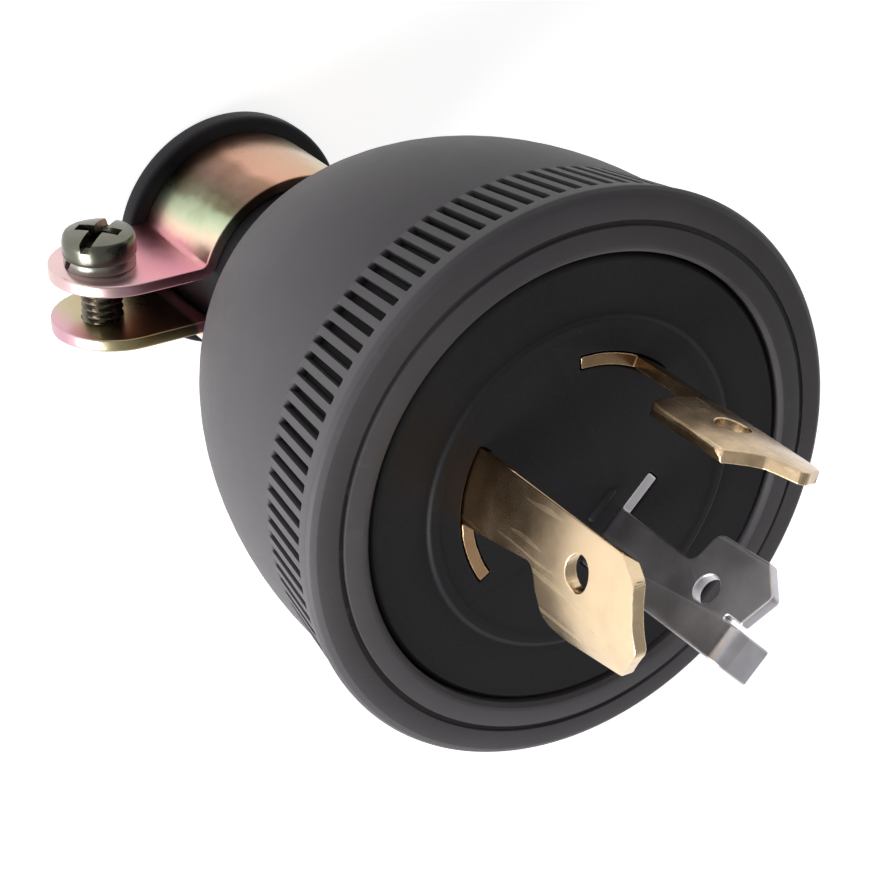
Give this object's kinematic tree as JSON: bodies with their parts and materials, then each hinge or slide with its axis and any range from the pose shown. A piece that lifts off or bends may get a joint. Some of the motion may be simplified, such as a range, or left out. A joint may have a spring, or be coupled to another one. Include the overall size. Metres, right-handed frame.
{
  "type": "locking power plug",
  "caption": "Round rubber-bushed power plug with a knurled domed cover, hooked twist-lock blades, a ground blade and a screw clamp round the cord entry.",
  "frame": {"origin": "centre of the rear end of the cord bush", "axes": "+Z along the plug's axis from the cord end towards the blades; +Y away from the ground blade; +X towards the right-hand line blade's side, seen from the front with the ground blade down"},
  "size_m": [0.052, 0.052, 0.0874],
  "materials": {
    "phenolic": "satin black moulding",
    "core_moulding": "satin black moulding",
    "barrier_moulding": "dark grey moulding",
    "bush_rubber": "satin black rubber",
    "blade_brass": "bright stamped brass",
    "blade_nickel": "bright nickel plate",
    "terminal_brass": "plain brass",
    "ground_green": "green dyed zinc plate",
    "zinc_steel": "bright zinc plate",
    "chromate_steel": "iridescent yellow chromate on zinc plate"
  },
  "bodies": {
    "root": {"cover": "phenolic", "core": "core_moulding", "line_blade_left": "blade_brass", "line_blade_right": "blade_brass", "ground_blade": "blade_nickel", "terminal_barrier": "barrier_moulding", "barrier_screw_a": "zinc_steel", "barrier_screw_b": "zinc_steel", "barrier_screw_c": "zinc_steel", "terminal_screw_left": "terminal_brass", "terminal_screw_right": "terminal_brass", "terminal_screw_ground": "ground_green", "terminal_washer_left": "zinc_steel", "terminal_washer_right": "zinc_steel", "terminal_washer_ground": "zinc_steel", "wire_plate_left": "terminal_brass", "wire_plate_right": "terminal_brass", "wire_plate_ground": "terminal_brass", "cord_bush": "bush_rubber", "clamp_band": "chromate_steel", "clamp_screw": "zinc_steel", "clamp_spring_washer": "zinc_steel"}
  },
  "joints": []
}
